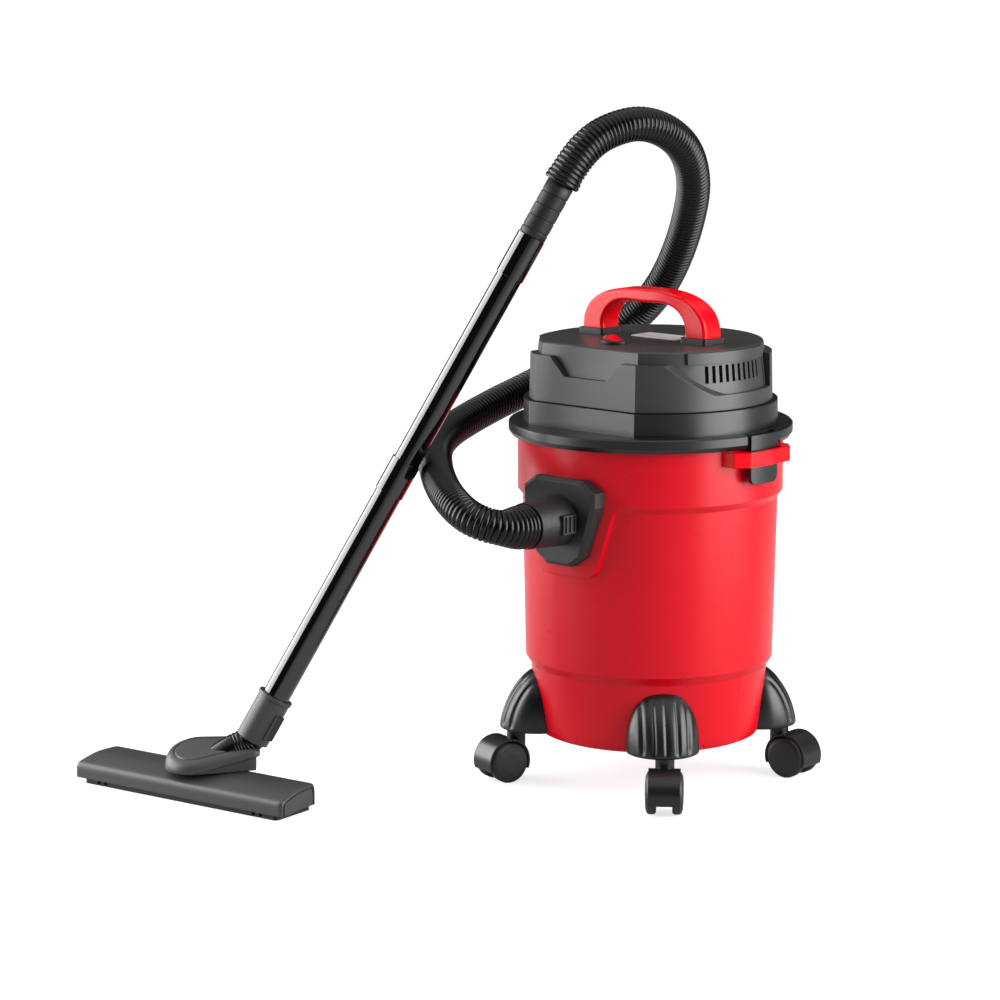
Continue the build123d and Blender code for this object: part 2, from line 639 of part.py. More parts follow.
def build():
    nodes = {
        "drum": drum(), "inlet_plate": inlet_plate(), "inlet_screws": inlet_screws(),
        "hose_coupling": hose_coupling(), "latch_loop_right": latch_loop(1),
        "latch_loop_left": latch_loop(-1), "lid": lid(), "motor_housing": motor_housing(),
        "housing_shroud": housing_shroud(), "handle": handle(), "handle_collars": handle_collars(),
        "switch_bezel": switch_bezel(), "power_switch": power_switch(),
        "blank_plate": blank_plate(), "cable_gland": cable_gland(), "motor_stator": motor_stator(),
        "fan_housing": fan_housing(), "impeller": impeller(), "motor_shaft": motor_shaft(),
        "float_cage": float_cage(), "float_ball": float_ball(), "filter_sleeve": filter_sleeve(),
        "filter_clamp": filter_clamp(), "lid_gasket": lid_gasket(), "head_screws": head_screws(),
        "latch_right": latch(1), "latch_left": latch(-1), "latch_pins": latch_pins(),
        "wand_tube_lower": lower_tube(), "wand_tube_upper": upper_tube(), "wand_grip": wand_grip(),
        "nozzle_collar": nozzle_collar(), "collar_clip": collar_clip(), "neck_bellows": neck_bellows(),
        "nozzle_neck": nozzle_neck(), "nozzle_body": nozzle_body(), "nozzle_sole": nozzle_sole(),
        "brush_strips": brush_strips(), "hose": hose(),
    }
    for name, angle in CASTOR_ANGLES.items():
        trail = CASTOR_TRAILS[name]
        nodes[f"castor_foot_{name}"] = castor_foot(angle)
        nodes[f"castor_hood_{name}"] = placed(angle, trail, castor_hood())
        nodes[f"castor_axle_{name}"] = placed(angle, trail, castor_axle())
        nodes[f"castor_wheel_{name}_a"] = placed(angle, trail, castor_wheel(1))
        nodes[f"castor_wheel_{name}_b"] = placed(angle, trail, castor_wheel(-1))
    return nodes


os.makedirs("parts", exist_ok=True)
for node_name, solid in build().items():
    export_step(Pos(-MIDDLE_X, -MIDDLE_Y, 0) * solid, f"parts/{node_name}.step")
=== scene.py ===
import json
import math
import bmesh
import bpy
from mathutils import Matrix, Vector


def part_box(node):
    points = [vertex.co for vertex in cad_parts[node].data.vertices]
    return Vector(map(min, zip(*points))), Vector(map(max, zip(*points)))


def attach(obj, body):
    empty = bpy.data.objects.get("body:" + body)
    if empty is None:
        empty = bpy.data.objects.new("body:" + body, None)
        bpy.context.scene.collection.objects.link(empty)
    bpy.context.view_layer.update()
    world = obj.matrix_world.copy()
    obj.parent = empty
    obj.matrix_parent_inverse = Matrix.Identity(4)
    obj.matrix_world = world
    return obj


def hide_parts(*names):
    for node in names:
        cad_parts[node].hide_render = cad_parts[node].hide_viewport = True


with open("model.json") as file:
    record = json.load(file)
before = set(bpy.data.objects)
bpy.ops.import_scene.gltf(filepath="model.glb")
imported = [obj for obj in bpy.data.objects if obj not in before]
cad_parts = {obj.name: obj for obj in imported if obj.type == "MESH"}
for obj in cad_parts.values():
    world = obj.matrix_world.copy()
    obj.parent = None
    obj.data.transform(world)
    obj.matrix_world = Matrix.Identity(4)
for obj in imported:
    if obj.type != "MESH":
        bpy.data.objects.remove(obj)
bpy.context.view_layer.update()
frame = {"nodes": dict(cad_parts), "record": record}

NODES = frame["nodes"]
MM = 0.001

JOINTS = {joint["name"]: joint for joint in frame["record"]["behaviour"]["joints"]}

# The drum's axis, which the drawing dimensions below are measured from, in millimetres.
DRUM_LOW, DRUM_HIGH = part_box("drum")
AXIS_X = (DRUM_LOW.x + DRUM_HIGH.x) / 2
AXIS_Y = (DRUM_LOW.y + DRUM_HIGH.y) / 2


def at(x, y, z):
    """Point in the row frame, in metres, from millimetres about the drum's axis."""
    return Vector((AXIS_X + x * MM, AXIS_Y + y * MM, z * MM))


# ---------------------------------------------------------------- camera
CAMERA_LENS = 123.34
CAMERA_SENSOR = 36.0
CAMERA_PLACE = (2.0556, -2.2557, 0.7988)
CAMERA_TILT = math.radians(79.961)
CAMERA_TURN = math.radians(41.744)


def make_camera():
    data = bpy.data.cameras.new("camera")
    data.lens = CAMERA_LENS
    data.sensor_width = CAMERA_SENSOR
    data.dof.use_dof = False
    camera = bpy.data.objects.new("camera", data)
    camera.location = CAMERA_PLACE
    camera.rotation_euler = (CAMERA_TILT, 0.0, CAMERA_TURN)
    bpy.context.scene.collection.objects.link(camera)
    bpy.context.scene.camera = camera


# ---------------------------------------------------------------- materials
EDGE_SAMPLES = 4
GRAIN_HEIGHT = 0.00025
ROUGH_SPREAD = 0.05
COAT_ROUGHNESS = 0.08


def srgb(red, green, blue):
    """Linear colour from 0-255 display values."""
    out = []
    for value in (red, green, blue):
        share = value / 255
        out.append(share / 12.92 if share <= 0.04045 else ((share + 0.055) / 1.055) ** 2.4)
    return (*out, 1.0)


class Finish:
    """One procedural material, with a helper for each kind of node it uses."""

    def __init__(self, name):
        self.material = bpy.data.materials.new(name)
        self.material.use_nodes = True
        self.nodes = self.material.node_tree.nodes
        self.links = self.material.node_tree.links
        self.shader = self.nodes["Principled BSDF"]
        self.coords = self.nodes.new("ShaderNodeTexCoord").outputs["Object"]

    def noise(self, scale, detail=3.0, roughness=0.55, stretch=None):
        """Noise in the piece's own coordinates, drawn out along an axis if stretch says so."""
        node = self.nodes.new("ShaderNodeTexNoise")
        node.inputs["Scale"].default_value = scale
        node.inputs["Detail"].default_value = detail
        node.inputs["Roughness"].default_value = roughness
        source = self.coords
        if stretch is not None:
            mapping = self.nodes.new("ShaderNodeMapping")
            mapping.inputs["Scale"].default_value = stretch
            self.links.new(source, mapping.inputs["Vector"])
            source = mapping.outputs["Vector"]
        self.links.new(source, node.inputs["Vector"])
        return node.outputs["Fac"]

    def ramp(self, factor, stops):
        """Colour from a factor through (position, colour) stops."""
        node = self.nodes.new("ShaderNodeValToRGB")
        elements = node.color_ramp.elements
        elements[0].position, elements[0].color = stops[0]
        elements[1].position, elements[1].color = stops[-1]
        for position, colour in stops[1:-1]:
            elements.new(position).color = colour
        self.links.new(factor, node.inputs["Fac"])
        return node.outputs["Color"]

    def spread(self, factor, low, high):
        """A factor of 0 to 1 spread between two values."""
        node = self.nodes.new("ShaderNodeMapRange")
        node.inputs["To Min"].default_value = low
        node.inputs["To Max"].default_value = high
        self.links.new(factor, node.inputs["Value"])
        return node.outputs["Result"]

    def bump(self, height, strength, distance, edge):
        """Relief in the shading, over edges softened to a radius of edge metres."""
        node = self.nodes.new("ShaderNodeBump")
        node.inputs["Strength"].default_value = strength
        node.inputs["Distance"].default_value = distance
        self.links.new(height, node.inputs["Height"])
        if edge > 0:
            rounding = self.nodes.new("ShaderNodeBevel")
            rounding.samples = EDGE_SAMPLES
            rounding.inputs["Radius"].default_value = edge
            self.links.new(rounding.outputs["Normal"], node.inputs["Normal"])
        self.links.new(node.outputs["Normal"], self.shader.inputs["Normal"])

    def to(self, socket, output):
        self.links.new(output, self.shader.inputs[socket])


def shade(colour, factor):
    """The same colour lighter or darker."""
    return tuple(min(1.0, c * factor) for c in colour[:3]) + (1.0,)


def moulded(name, colour, rough, grain=0.12, grain_scale=1500.0, edge=0.0006,
            mottle=0.07, coat=0.0, level=0.5):
    """Moulded plastic: slight mottling, fine spark-eroded grain, uneven gloss and softened edges."""
    finish = Finish(name)
    shader = finish.shader
    shader.inputs["Specular IOR Level"].default_value = level
    shader.inputs["Coat Weight"].default_value = coat
    shader.inputs["Coat Roughness"].default_value = COAT_ROUGHNESS
    broad = finish.noise(scale=14.0, detail=4.0)
    stops = [(0.3, shade(colour, 1 - mottle)), (0.7, shade(colour, 1 + mottle))]
    finish.to("Base Color", finish.ramp(broad, stops))
    smear = finish.noise(scale=45.0, detail=5.0, roughness=0.65)
    finish.to("Roughness", finish.spread(smear, rough - ROUGH_SPREAD, rough + ROUGH_SPREAD))
    finish.bump(finish.noise(grain_scale, detail=2.0), grain, GRAIN_HEIGHT, edge)
    return finish.material


def metal(name, colour, rough, stretch):
    """Turned or brushed metal with fine lines."""
    finish = Finish(name)
    finish.shader.inputs["Metallic"].default_value = 1.0
    lines = finish.noise(scale=60.0, detail=6.0, roughness=0.7, stretch=stretch)
    finish.to("Base Color", finish.ramp(lines, [(0.2, shade(colour, 0.8)), (0.8, shade(colour, 1.1))]))
    finish.to("Roughness", finish.spread(lines, rough, rough + 0.15))
    finish.bump(lines, strength=0.1, distance=0.0002, edge=0.0004)
    return finish.material


def fibres(name, colour, rough, stretch):
    """Paper, felt or bristle, with a drawn-out fibrous grain."""
    finish = Finish(name)
    finish.shader.inputs["Sheen Weight"].default_value = 0.2
    strands = finish.noise(scale=90.0, detail=8.0, roughness=0.75, stretch=stretch)
    finish.to("Base Color", finish.ramp(strands, [(0.25, shade(colour, 0.75)), (0.75, shade(colour, 1.1))]))
    finish.to("Roughness", finish.spread(strands, rough - 0.1, rough))
    finish.bump(strands, strength=0.5, distance=0.0006, edge=0.0)
    return finish.material


FINISHES = {
    "red_satin": moulded("red_satin", srgb(184, 0, 20), rough=0.29, grain=0.10, grain_scale=1700.0,
                         edge=0.0010, mottle=0.03, level=0.22),
    "red_gloss": moulded("red_gloss", srgb(214, 0, 16), rough=0.22, grain=0.04, grain_scale=1400.0,
                         edge=0.0012, mottle=0.03, level=0.22),
    "black_matte": moulded("black_matte", srgb(22, 22, 23), rough=0.48, grain=0.25, level=0.35),
    "black_satin": moulded("black_satin", srgb(14, 14, 15), rough=0.32, edge=0.0008, level=0.42),
    "grey_satin": moulded("grey_satin", srgb(44, 43, 43), rough=0.38, grain=0.22, edge=0.0007, level=0.42),
    "nozzle_grey": moulded("nozzle_grey", srgb(52, 52, 53), rough=0.42, grain=0.30, grain_scale=1300.0,
                           edge=0.0008, level=0.42),
    "black_gloss": moulded("black_gloss", srgb(3, 3, 4), rough=0.07, grain=0.01, grain_scale=900.0,
                           edge=0.0004, mottle=0.1, coat=0.6),
    "hose_black": moulded("hose_black", srgb(4, 4, 5), rough=0.24, grain=0.05, grain_scale=1200.0,
                          edge=0.0, mottle=0.1, level=0.26),
    "wheel_black": moulded("wheel_black", srgb(14, 13, 14), rough=0.46, grain=0.15),
    "rubber": moulded("rubber", srgb(22, 22, 22), rough=0.62, grain=0.2, grain_scale=1100.0, edge=0.0003),
    "steel": metal("steel", srgb(176, 176, 178), rough=0.22, stretch=(1.0, 1.0, 20.0)),
    "screw_steel": metal("screw_steel", srgb(165, 166, 170), rough=0.28, stretch=(12.0, 12.0, 1.0)),
    "aluminium": metal("aluminium", srgb(190, 191, 193), rough=0.3, stretch=(1.0, 1.0, 12.0)),
    "white_plastic": moulded("white_plastic", srgb(226, 226, 222), rough=0.4, grain=0.08,
                             grain_scale=1300.0, mottle=0.02),
    "filter_paper": fibres("filter_paper", srgb(222, 214, 192), rough=0.95, stretch=(1.0, 1.0, 0.2)),
    "grey_plate": moulded("grey_plate", srgb(196, 196, 198), rough=0.34, grain=0.05, grain_scale=1300.0,
                          edge=0.0003, mottle=0.02),
    "brush": fibres("brush", srgb(28, 26, 25), rough=0.85, stretch=(6.0, 6.0, 0.4)),
}


def record_slots():
    """The record's slot of each CAD node."""
    return {entry["node"]: entry["material_slot"] for entry in frame["record"]["subparts"]}


# ---------------------------------------------------------------- mesh helpers
def capped(bm, rings):
    """Joins closed rings of points with quads and closes both ends."""
    made = [[bm.verts.new(p) for p in ring] for ring in rings]
    count = len(made[0])
    for lower, upper in zip(made, made[1:]):
        for i in range(count):
            j = (i + 1) % count
            bm.faces.new((lower[i], lower[j], upper[j], upper[i]))
    bm.faces.new(made[0])
    bm.faces.new(made[-1])


def add_piece(name, bm, slot, body, nodes, sharp):
    """Makes a visible piece that stands for CAD nodes. Edges over sharp degrees stay hard."""
    bmesh.ops.recalc_face_normals(bm, faces=bm.faces)
    mesh = bpy.data.meshes.new(name)
    bm.to_mesh(mesh)
    bm.free()
    for polygon in mesh.polygons:
        polygon.use_smooth = True
    mesh.set_sharp_from_angle(angle=math.radians(sharp))
    obj = bpy.data.objects.new(name, mesh)
    bpy.context.scene.collection.objects.link(obj)
    mesh.materials.append(FINISHES[slot])
    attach(obj, body)
    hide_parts(*nodes)
    return obj


# ---------------------------------------------------------------- hose
# Control points of the hose's middle line, from the coupling to the wand's grip.
HOSE_ROUTE = [
    (0.0, -171.0, 256.0),
    (0.0, -190.0, 256.0),
    (-8.0, -209.0, 260.0),
    (-26.0, -217.0, 267.0),
    (-52.0, -209.0, 276.0),
    (-84.0, -188.0, 284.0),
    (-120.0, -157.0, 293.0),
    (-148.0, -127.0, 304.0),
    (-163.0, -94.0, 313.0),
    (-168.0, -60.0, 321.0),
    (-169.0, -24.0, 330.0),
    (-167.0, 13.0, 339.0),
    (-161.0, 48.0, 350.0),
    (-149.0, 82.0, 367.0),
    (-131.0, 109.0, 388.0),
    (-107.0, 122.0, 413.0),
    (-79.0, 115.0, 439.0),
    (-51.0, 101.0, 470.0),
    (-24.0, 83.0, 505.0),
    (1.0, 60.0, 541.0),
    (13.0, 33.0, 573.0),
    (14.0, 2.0, 592.0),
    (8.0, -28.0, 600.0),
    (-2.0, -53.0, 595.0),
    (-9.0, -74.0, 585.0),
    (-16.7, -90.7, 565.86),
    (-23.58, -97.58, 548.38),
]
HOSE_LENGTH = 0.9035
HOSE_DIAMETER = 0.031
RIB_PITCH = 0.0041
RIB_DEPTH = 0.0018
RIB_STEPS = 8
HOSE_SIDES = 40
FLARE = 0.0040
FLARE_FULL = 0.007
FLARE_END = 0.034
END_CUFF = 0.0009
CUFF_START = HOSE_LENGTH - 0.012
CUFF_FULL = HOSE_LENGTH - 0.006
LINE_RESOLUTION = 24


def spline_points(points, resolution):
    """Points along one smooth NURBS curve that has these control points."""
    data = bpy.data.curves.new("route", "CURVE")
    data.dimensions = "3D"
    spline = data.splines.new("NURBS")
    spline.points.add(len(points) - 1)
    for target, point in zip(spline.points, points):
        target.co = (*point, 1.0)
    spline.order_u = 3
    spline.use_endpoint_u = True
    spline.resolution_u = resolution
    obj = bpy.data.objects.new("route", data)
    bpy.context.scene.collection.objects.link(obj)
    bpy.context.view_layer.update()
    mesh = bpy.data.meshes.new_from_object(obj.evaluated_get(bpy.context.evaluated_depsgraph_get()))
    line = [v.co.copy() for v in mesh.vertices]
    bpy.data.objects.remove(obj)
    bpy.data.curves.remove(data)
    bpy.data.meshes.remove(mesh)
    return line


def evenly(line, step):
    """The same line at even distances, with the distance of each point."""
    total = sum((b - a).length for a, b in zip(line, line[1:]))
    count = max(2, round(total / step))
    wanted = [total * i / count for i in range(count + 1)]
    out = []
    walked = 0.0
    index = 0
    for distance in wanted:
        while index < len(line) - 2 and walked + (line[index + 1] - line[index]).length < distance:
            walked += (line[index + 1] - line[index]).length
            index += 1
        run = line[index + 1] - line[index]
        share = (distance - walked) / run.length
        out.append((line[index] + run * min(1.0, share), distance))
    return out


def frames_along(stations):
    """Origin, side and up of a frame carried along a line without twist."""
    points = [p for p, _ in stations]
    tangents = []
    for i, point in enumerate(points):
        before = points[max(0, i - 1)]
        after = points[min(len(points) - 1, i + 1)]
        tangents.append((after - before).normalized())
    side = tangents[0].orthogonal().normalized()
    out = []
    for point, tangent in zip(points, tangents):
        side = (side - tangent * side.dot(tangent)).normalized()
        out.append((point, side, tangent.cross(side)))
    return out


def tube_rings(stations, radius_at, sides):
    """Rings around a line, each with the radius for its distance along it."""
    rings = []
    for (origin, side, up), (_, distance) in zip(frames_along(stations), stations):
        radius = radius_at(distance)
        ring = []
        for i in range(sides):
            angle = 2 * math.pi * i / sides
            ring.append(origin + (side * math.cos(angle) + up * math.sin(angle)) * radius)
        rings.append(ring)
    return rings


def smooth(value, start, end):
    """0 before start, 1 after end, and an even S between them."""
    share = min(1.0, max(0.0, (value - start) / (end - start)))
    return share * share * (3 - 2 * share)


def rib_depth(distance, pitch, depth):
    """How far the surface falls below the crest of a round rib."""
    share = (distance / pitch) % 1.0
    return depth * (1 - math.sqrt(max(0.0, 1 - (2 * share - 1) ** 2)))


def hose_radius(distance):
    """Ribbed hose that widens to its cuff at the coupling and a little at the grip."""
    radius = HOSE_DIAMETER / 2 + FLARE * (1 - smooth(distance, FLARE_FULL, FLARE_END))
    radius += END_CUFF * smooth(distance, CUFF_START, CUFF_FULL)
    return radius - rib_depth(distance, RIB_PITCH, RIB_DEPTH)


def make_hose():
    line = spline_points([at(*p) for p in HOSE_ROUTE], LINE_RESOLUTION)
    stations = evenly(line, RIB_PITCH / RIB_STEPS)
    bm = bmesh.new()
    capped(bm, tube_rings(stations, hose_radius, HOSE_SIDES))
    hose = add_piece("ribbed_hose", bm, "hose_black", "root", ["hose"], sharp=80.0)


# ---------------------------------------------------------------- castor feet
FOOT_LOW = 48.0
FOOT_RISE = 54.0
FOOT_REACH = 33.0
FOOT_CENTRE = 103.6
FLUTES = (-21.0, -10.8, 0.0, 10.8, 21.0)
FLUTE_DEPTH = 1.7
FLUTE_HALF = 1.7
FLUTE_GROWS = (49.0, 54.0)
FLUTE_FADES = (88.0, 100.0)
FOOT_POINTS = 121
FOOT_SINK = 0.6
REACH_CURVE = (1.6, 0.65)
WIDTH_CURVE = (2.4, 0.417)
HALVINGS = 30
# (height over the foot's base, inset) of the rounded lower edge
FOOT_EDGE = [(0.0, 1.6), (0.5, 0.5), (1.6, 0.0)]
FOOT_LEVELS = 31
FIRST_ANGLE = 4
ANGLE_STEP = 2.6
DRUM_FOOT_RADIUS = 101.5
DRUM_TAPER_START = 51.0
DRUM_TAPER = 0.107


def drum_radius(height):
    """Radius of the drum's tapered foot at a height, in millimetres."""
    return DRUM_FOOT_RADIUS + (height - DRUM_TAPER_START) * DRUM_TAPER


def arch(rise, curve):
    """Share of the width left at a share of the height."""
    inner, outer = curve
    return (1 - rise ** inner) ** outer


def foot_ring(height, inset, angle):
    """Section of a castor foot: wide across, slimmer outwards, ending inside the drum's wall."""
    rise = (height - FOOT_LOW) / FOOT_RISE
    reach = FOOT_REACH * arch(rise, REACH_CURVE) - inset
    half = FOOT_REACH * arch(rise, WIDTH_CURVE) - inset
    inside = drum_radius(height) - FOOT_SINK
    low = 0.0
    limit = math.pi
    for _ in range(HALVINGS):
        middle = (low + limit) / 2
        if math.hypot(FOOT_CENTRE + reach * math.cos(middle), half * math.sin(middle)) > inside:
            low = middle
        else:
            limit = middle
    depth = FLUTE_DEPTH * smooth(height, *FLUTE_GROWS) * (1 - smooth(height, *FLUTE_FADES))
    out = []
    for i in range(FOOT_POINTS):
        theta = limit * (2 * i / (FOOT_POINTS - 1) - 1)
        lateral = half * math.sin(theta)
        groove = depth * sum(math.exp(-((lateral - flute) / FLUTE_HALF) ** 2) for flute in FLUTES)
        radial = FOOT_CENTRE + (reach - groove) * math.cos(theta)
        side = (half - groove) * math.sin(theta)
        x = radial * math.cos(angle) - side * math.sin(angle)
        y = radial * math.sin(angle) + side * math.cos(angle)
        out.append(at(x, y, height))
    return out


def make_castor_foot(corner):
    """Fluted foot on the drum over one castor, turned the way its castor lies."""
    spot = JOINTS[f"castor_swivel_{corner}"]["pos_m"]
    angle = math.atan2(spot[1] - AXIS_Y, spot[0] - AXIS_X)
    levels = [(FOOT_LOW + rise, inset) for rise, inset in FOOT_EDGE]
    for step in range(FOOT_LEVELS):
        bend = math.radians(FIRST_ANGLE + ANGLE_STEP * step)
        levels.append((FOOT_LOW + FOOT_RISE * math.sin(bend), 0.0))
    bm = bmesh.new()
    capped(bm, [foot_ring(height, inset, angle) for height, inset in levels])
    node = f"castor_foot_{corner}"
    add_piece(f"fluted_{node}", bm, "black_satin", "root", [node], sharp=60.0)


# ---------------------------------------------------------------- wand and neck
NOZZLE_PIVOT = Vector(JOINTS["nozzle_turn"]["pos_m"])
NECK_HEADING = math.radians(45.0)
WAND_LEAN = math.radians(29.1)
WAND_START = (51.0, 52.0)
GRIP_LOW = 515.0
GRIP_HIGH = 568.0
GRIP_RADIUS = 12.3
GRIP_GROOVES = [GRIP_LOW + 7.0 + 11.5 * step for step in range(4)]
GROOVE_HALF = 0.8
GROOVE_FLOOR_HALF = 0.3
GROOVE_DEPTH = 0.7
SPIGOT_LENGTH = 8
SPIGOT_RADIUS = 11.3
LATHE_SIDES = 72
# middle line of the elbow: (along the neck, height)
ELBOW = [(20.0, 34.5), (37.0, 46.0), (48.5, 49.0), (52.5, 55.0)]
ELBOW_RADIUS = 12.6
ELBOW_PITCH = 0.0026
ELBOW_RIB = 0.0013
ELBOW_SIDES = 56
ELBOW_PLAIN = 0.018
ELBOW_RIBBED = 0.021
TEARDROP_RADIUS = 27.5
TEARDROP_END = 58.0
TEARDROP_TAIL = 14.0
TAIL_END_INSET = 1.6
TAIL_SIDE_INSET = 0.6
COVER_SIDES = 144
COVER_FOOT = 25.9
COVER_GAP = 0.3
# height at the pivot, rise per millimetre along the neck and rise per millimetre to its left
RIM_PLANE = (31.2, 0.175, 0.17)
TOP_PLANE = (43.8, 0.118, 0.269)
# (inset, share of the height, lift): the foot and the rim, the domed side, the groove, the top
COVER_LEVELS = [
    (2.4, None, 0.0), (2.2, None, 0.2), (2.2, 0.0, -0.2), (0.5, 0.0, 0.0), (0.0, 0.0, 0.9),
    (0.5, 0.4, 0.0), (1.5, 0.68, 0.0), (3.2, 0.87, 0.0), (5.4, 0.95, 0.0), (7.8, 1.0, -0.3),
    (8.2, 1.0, -1.1), (8.9, 1.0, -1.1), (9.3, 1.0, 0.0), (10.4, 1.0, 0.4), (13.0, 1.0, 0.5),
]


def neck_point(along, height, side=0.0):
    """Point measured from the nozzle's pivot: along the neck, to its left, and above the floor."""
    x = along * math.cos(NECK_HEADING) - side * math.sin(NECK_HEADING)
    y = along * math.sin(NECK_HEADING) + side * math.cos(NECK_HEADING)
    return Vector((NOZZLE_PIVOT.x + x * MM, NOZZLE_PIVOT.y + y * MM, height * MM))


def wand_point(distance):
    """Point on the wand's axis, this far above the elbow's end."""
    flat = math.sin(WAND_LEAN)
    way = Vector((flat * math.cos(NECK_HEADING), flat * math.sin(NECK_HEADING), math.cos(WAND_LEAN)))
    return neck_point(*WAND_START) + way * distance * MM


def lathe(bm, profile):
    """Closed turned shape on the wand's axis from (distance, radius) pairs."""
    across = (wand_point(1.0) - wand_point(0.0)).orthogonal().normalized()
    other = (wand_point(1.0) - wand_point(0.0)).normalized().cross(across)
    turns = [2 * math.pi * i / LATHE_SIDES for i in range(LATHE_SIDES)]
    rings = []
    for distance, radius in profile:
        origin = wand_point(distance)
        spokes = [(across * math.cos(turn) + other * math.sin(turn)) * (radius * MM) for turn in turns]
        rings.append([origin + spoke for spoke in spokes])
    capped(bm, rings)


def make_grip():
    """Grip with a spigot in the upper tube and four grooves around it."""
    floor = GRIP_RADIUS - GROOVE_DEPTH
    profile = [(GRIP_LOW - SPIGOT_LENGTH, SPIGOT_RADIUS), (GRIP_LOW, SPIGOT_RADIUS)]
    profile += [(GRIP_LOW + 0.1, GRIP_RADIUS - 0.6), (GRIP_LOW + 0.8, GRIP_RADIUS)]
    for groove in GRIP_GROOVES:
        profile += [(groove - GROOVE_HALF, GRIP_RADIUS), (groove - GROOVE_FLOOR_HALF, floor)]
        profile += [(groove + GROOVE_FLOOR_HALF, floor), (groove + GROOVE_HALF, GRIP_RADIUS)]
    profile += [(GRIP_HIGH - 1, GRIP_RADIUS), (GRIP_HIGH, GRIP_RADIUS - 1)]
    bm = bmesh.new()
    lathe(bm, profile)
    add_piece("grooved_grip", bm, "black_matte", "root", ["wand_grip"], sharp=50.0)


def elbow_radius(distance):
    """Plain where the elbow enters the cover, ribbed above it."""
    depth = ELBOW_RIB * smooth(distance, ELBOW_PLAIN, ELBOW_RIBBED)
    return ELBOW_RADIUS * MM - rib_depth(distance, ELBOW_PITCH, depth)


def make_bellows():
    line = spline_points([neck_point(*spot) for spot in ELBOW], LINE_RESOLUTION)
    stations = evenly(line, ELBOW_PITCH / RIB_STEPS)
    bm = bmesh.new()
    capped(bm, tube_rings(stations, elbow_radius, ELBOW_SIDES))
    add_piece("ribbed_elbow", bm, "hose_black", "root", ["neck_bellows"], sharp=80.0)


def plane_height(plane, along, side):
    middle, rise_along, rise_side = plane
    return middle + rise_along * along + rise_side * side


def rim_low(along, side):
    """Lower edge of the cover's rim, which climbs towards the tail and the back."""
    return max(COVER_FOOT + COVER_GAP, plane_height(RIM_PLANE, along, side))


def teardrop_ring(inset, share, lift):
    """Outline of the neck cover, a disc and a squared tail in one, met by rays from the pivot.

    share is how far the ring lies between the rim's lower edge and the top plane, and None puts
    it on the cover's flat foot. lift is added in millimetres.
    """
    disc = TEARDROP_RADIUS - inset
    end = TEARDROP_END - inset * TAIL_END_INSET
    half = TEARDROP_TAIL - inset * TAIL_SIDE_INSET
    corner = math.atan2(half, end)
    tangent = corner + math.acos(disc / math.hypot(half, end))
    out = []
    for i in range(COVER_SIDES):
        theta = 2 * math.pi * i / COVER_SIDES
        folded = abs(math.atan2(math.sin(theta), math.cos(theta)))
        if folded >= tangent:
            radius = disc
        elif folded >= corner:
            radius = disc / math.cos(folded - tangent)
        else:
            radius = end / math.cos(folded)
        along = radius * math.cos(theta)
        side = radius * math.sin(theta)
        height = COVER_FOOT
        if share is not None:
            low = rim_low(along, side)
            height = low + (plane_height(TOP_PLANE, along, side) - low) * share
        out.append(neck_point(along, height + lift, side))
    return out


def make_neck():
    bm = bmesh.new()
    capped(bm, [teardrop_ring(*level) for level in COVER_LEVELS])
    add_piece("neck_cover", bm, "nozzle_grey", "root", ["nozzle_neck"], sharp=40.0)


# ---------------------------------------------------------------- nozzle
NOZZLE_YAW = math.radians(6.0)
NOZZLE_HALF = 117.5
NOZZLE_HALF_DEPTH = 27.0
# The rear edge is shorter than the front one by twice this share.
NOZZLE_FLARE = 0.020
NOZZLE_STRETCH = 1.012
SHELL_LOW = 5.0
SHELL_HEIGHT = 20.0
SHELL_WALL = 3.0
SECTION_RESOLUTION = 12
SECTION_STEP = 1.4
# (across, height) from the front's lower edge over the top to the rear's
SHELL_SECTION = [
    (-27.0, 5.0), (-27.0, 10.0), (-27.0, 15.0), (-25.6, 18.6), (-20.0, 20.4), (-10.0, 23.0), (1.0, 25.0),
    (13.0, 25.0), (25.0, 25.0), (27.0, 19.0), (27.0, 12.0), (27.0, 5.0),
]
# (distance from the end, inset) of the stepped end cap
END_STEPS = [
    (0.0, 5.0), (0.0, 4.6), (1.4, 4.2), (1.4, 3.2), (0.0, 2.6),
    (0.2, 1.7), (0.8, 0.8), (1.9, 0.25), (4.0, 0.0),
]
END_WALL = 5.0
CAVITY_START = 5.4
MIDDLE_STATIONS = range(-105, 106, 15)
BRUSH_ROWS = (-14.8, 14.8)
BRUSH_HALF = NOZZLE_HALF - 25.0
TUFTS = 84
TUFT_SIDES = 6
TUFT_DEPTH = 1.2
# (height, radius, share of the lean) of a tuft, from its root down
TUFT_LEVELS = [(11.2, 0.9, 0.0), (8.0, 0.95, 0.3), (5.3, 0.7, 1.0)]


def nozzle_point(x, y, height):
    """Point measured along the nozzle, across it and above the floor."""
    turned_x = x * math.cos(NOZZLE_YAW) - y * math.sin(NOZZLE_YAW)
    turned_y = x * math.sin(NOZZLE_YAW) + y * math.cos(NOZZLE_YAW)
    return Vector((NOZZLE_PIVOT.x + turned_x * MM, NOZZLE_PIVOT.y + turned_y * MM, height * MM))


def shell_point(x, point, inset, rise):
    """Point of the shell's section at x, drawn in by inset. A rise of 0 flattens it to the base."""
    across = point[0] * (1 - inset / NOZZLE_HALF_DEPTH)
    along = x * (NOZZLE_STRETCH - NOZZLE_FLARE * point[0] / NOZZLE_HALF_DEPTH)
    height = SHELL_LOW + (point[1] - SHELL_LOW) * (1 - inset / SHELL_HEIGHT) * rise
    return nozzle_point(along, across, height)


